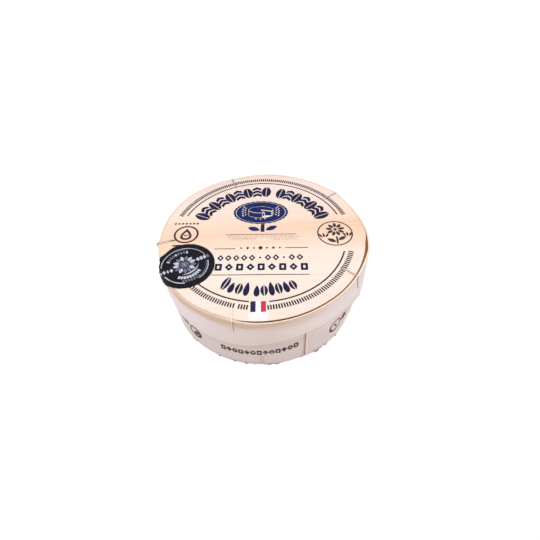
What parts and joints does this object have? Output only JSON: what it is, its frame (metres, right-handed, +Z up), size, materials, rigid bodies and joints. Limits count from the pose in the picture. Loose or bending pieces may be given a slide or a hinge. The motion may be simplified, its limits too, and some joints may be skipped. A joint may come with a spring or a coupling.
{
  "type": "camembert in a shut round wooden box",
  "caption": "Camembert in its shut round veneer box: printed lid with stapled hoop, lower hoop with a lapped seam, bottom disc and a dark round label folded over the rim.",
  "frame": {"origin": "centre of the box's footprint, on the surface it stands on", "axes": "+Z up through the lid; -Y towards the front, where the lower hoop's lapped seam and the label are; +X to the right"},
  "size_m": [0.1152, 0.1153, 0.0421],
  "materials": {
    "lid_face_wood": "raw peach-white poplar veneer with fine grain, printed in dark blue",
    "lid_side_wood": "raw pale poplar veneer, tan under the rim",
    "base_side_wood": "raw pale grey-pink poplar veneer, printed in dark brown",
    "bottom_wood": "raw poplar veneer",
    "black_label": "black coated paper with silver print, half gloss",
    "staple_steel": "flat steel wire, dull"
  },
  "bodies": {
    "root": {"lid_disc": "lid_face_wood", "lid_hoop": "lid_side_wood", "base_hoop": "base_side_wood", "box_body": "bottom_wood", "round_label": "black_label", "lid_staple_1": "staple_steel", "lid_staple_2": "staple_steel", "lid_staple_3": "staple_steel", "lid_staple_4": "staple_steel", "lid_staple_5": "staple_steel", "base_staple_1": "staple_steel", "base_staple_2": "staple_steel", "base_staple_3": "staple_steel", "base_staple_4": "staple_steel", "base_staple_5": "staple_steel"}
  },
  "joints": []
}
